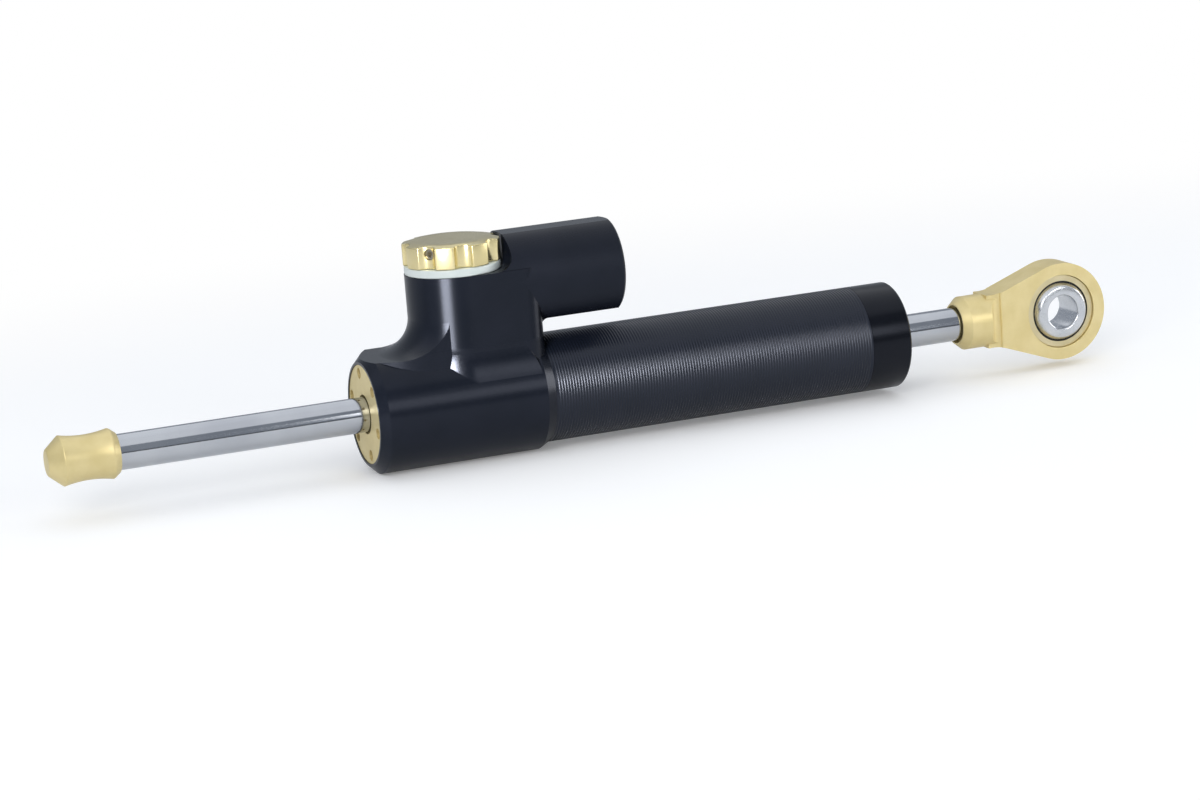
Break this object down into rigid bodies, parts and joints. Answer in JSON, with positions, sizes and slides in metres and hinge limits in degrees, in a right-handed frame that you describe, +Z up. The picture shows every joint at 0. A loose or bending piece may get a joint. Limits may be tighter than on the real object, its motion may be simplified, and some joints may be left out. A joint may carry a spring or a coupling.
{
  "type": "motorcycle steering damper",
  "caption": "Linear through-rod steering damper with a lobed adjuster knob, a reservoir above the barrel, a bumper cap and a spherical rod eye.",
  "frame": {"origin": "on the rod's axis, at the middle of the plain barrel between the head and the end collar, which the frame clamp grips", "axes": "+X along the rod towards the eye, +Z up through the adjuster knob, +Y away from the viewer of the picture, along the eye's bolt axis"},
  "size_m": [0.2585, 0.0274, 0.0507],
  "materials": {
    "black_anodised": "satin black hard-anodised aluminium",
    "gold_anodised": "satin champagne-gold anodised aluminium",
    "pale_ring": "machined white acetal",
    "hard_chrome": "ground and polished hard chrome",
    "bearing_steel": "satin bearing steel",
    "race_bronze": "machined bearing bronze",
    "liner_polymer": "dark low-friction polymer",
    "bright_steel": "bright steel",
    "seal_rubber": "black nitrile rubber",
    "bare_aluminium": "bare machined aluminium"
  },
  "bodies": {
    "housing": {"head_housing": "black_anodised", "barrel_tube": "black_anodised", "inner_tube": "bare_aluminium", "end_cap": "black_anodised", "gland_cap": "gold_anodised", "gland_bush": "race_bronze", "gland_seal": "seal_rubber", "gland_wiper": "seal_rubber", "gland_oring": "seal_rubber", "end_bush": "race_bronze", "end_seal": "seal_rubber", "end_wiper": "seal_rubber", "end_oring": "seal_rubber", "index_ring": "pale_ring", "valve_cap": "bare_aluminium", "valve_cap_oring": "seal_rubber", "spindle_oring": "seal_rubber", "valve_seat": "race_bronze", "detent_spring": "bright_steel", "reservoir_plug": "bare_aluminium", "reservoir_plug_oring": "seal_rubber", "reservoir_clip": "bright_steel", "fill_screw": "bright_steel"},
    "piston_band": {"piston_band": "liner_polymer"},
    "rod": {"piston_rod": "hard_chrome", "piston": "bare_aluminium", "piston_clips": "bright_steel", "bumper_cap": "gold_anodised", "rod_eye": "gold_anodised", "bearing_race": "race_bronze"},
    "liner": {"bearing_liner": "liner_polymer"},
    "ball": {"bearing_ball": "bearing_steel"},
    "knob": {"adjuster_knob": "gold_anodised", "knob_screw": "bright_steel", "adjuster_spindle": "bright_steel"},
    "needle": {"valve_needle": "race_bronze"},
    "detent": {"detent_ball": "bearing_steel"},
    "float": {"reservoir_piston": "bare_aluminium", "reservoir_piston_oring": "seal_rubber"}
  },
  "joints": [
    {"name": "rod_slide", "type": "slide", "parent": "housing", "child": "piston_band", "axis": [1, 0, 0], "range_m": [-0.0168, 0.0558]},
    {"name": "rod_spin", "type": "hinge", "parent": "piston_band", "child": "rod", "pos_m": [0, 0, 0], "axis": [1, 0, 0], "continuous": true},
    {"name": "eye_swivel", "type": "hinge", "parent": "rod", "child": "liner", "pos_m": [0.0936, 0, 0], "axis": [0, 1, 0], "continuous": true},
    {"name": "ball_tilt", "type": "hinge", "parent": "liner", "child": "ball", "pos_m": [0.0936, 0, 0], "axis": [1, 0, 0], "range_deg": [-12, 12]},
    {"name": "knob_turn", "type": "hinge", "parent": "housing", "child": "knob", "pos_m": [-0.0574, 0, 0.034], "axis": [0, 0, 1], "range_deg": [-180, 180]},
    {"name": "needle_lift", "type": "slide", "parent": "housing", "child": "needle", "axis": [0, 0, 1], "range_m": [-0.00041, 0.00041]},
    {"name": "detent_press", "type": "slide", "parent": "housing", "child": "detent", "axis": [0, 0, 1], "range_m": [-0.00025, 0], "stiffness_N_per_m": 200, "springref_m": 0.001},
    {"name": "float_slide", "type": "slide", "parent": "housing", "child": "float", "axis": [1, 0, 0], "range_m": [-0.0055, 0.0035]}
  ],
  "couplings": [
    {"joint": "needle_lift", "follows": "knob_turn", "m_per_rad": 0.00012732}
  ]
}
